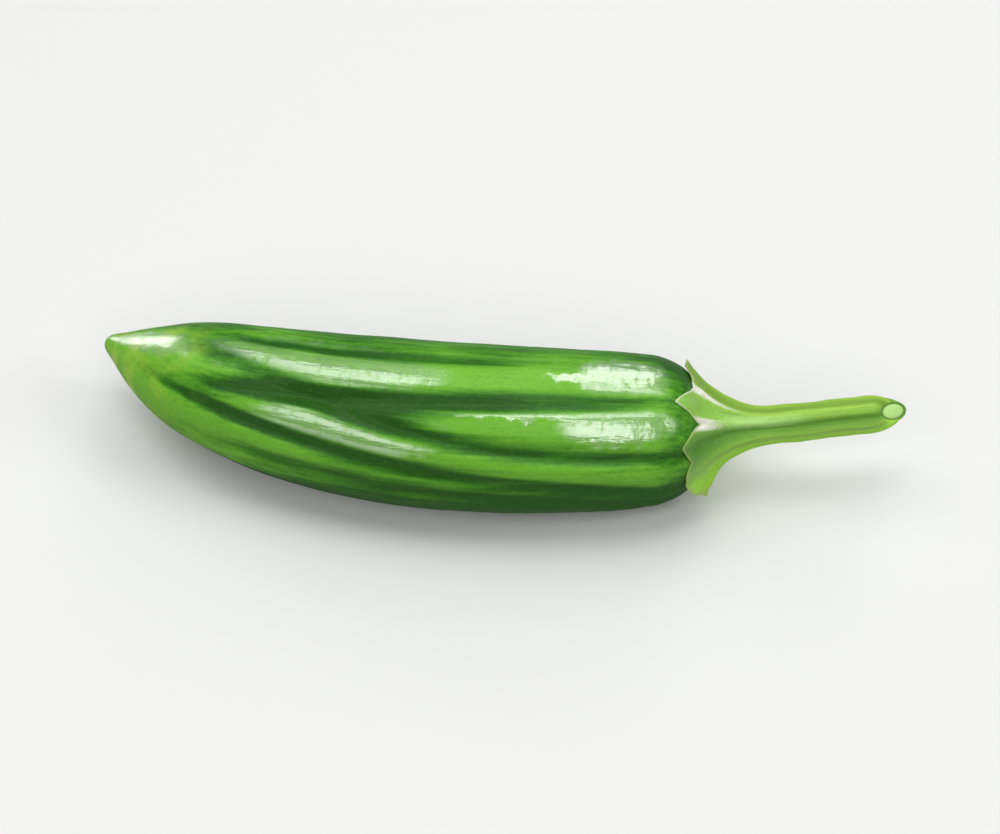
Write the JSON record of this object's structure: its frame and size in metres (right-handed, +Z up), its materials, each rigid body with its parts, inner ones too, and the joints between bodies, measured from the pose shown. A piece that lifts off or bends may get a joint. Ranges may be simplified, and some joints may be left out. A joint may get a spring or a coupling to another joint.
{
  "type": "shishito pepper",
  "caption": "Whole fresh green pepper lying on its side: a long ridged fruit with a pointed tip, a toothed calyx on its shoulder and a cut stem.",
  "frame": {"origin": "on the surface it lies on, under the middle of the whole pepper", "axes": "+X along its length from the fruit's tip to the cut end of the stem, +Z up, +Y towards the hollow side of its bend"},
  "size_m": [0.1044, 0.0254, 0.0213],
  "materials": {
    "fruit_skin": "smooth waxy pepper skin, mid green with darker furrows and a yellow-green tip",
    "stem_green": "satin, light yellow-green ribbed stem and calyx"
  },
  "bodies": {
    "root": {"fruit": "fruit_skin", "stem_with_calyx": "stem_green"}
  },
  "joints": []
}
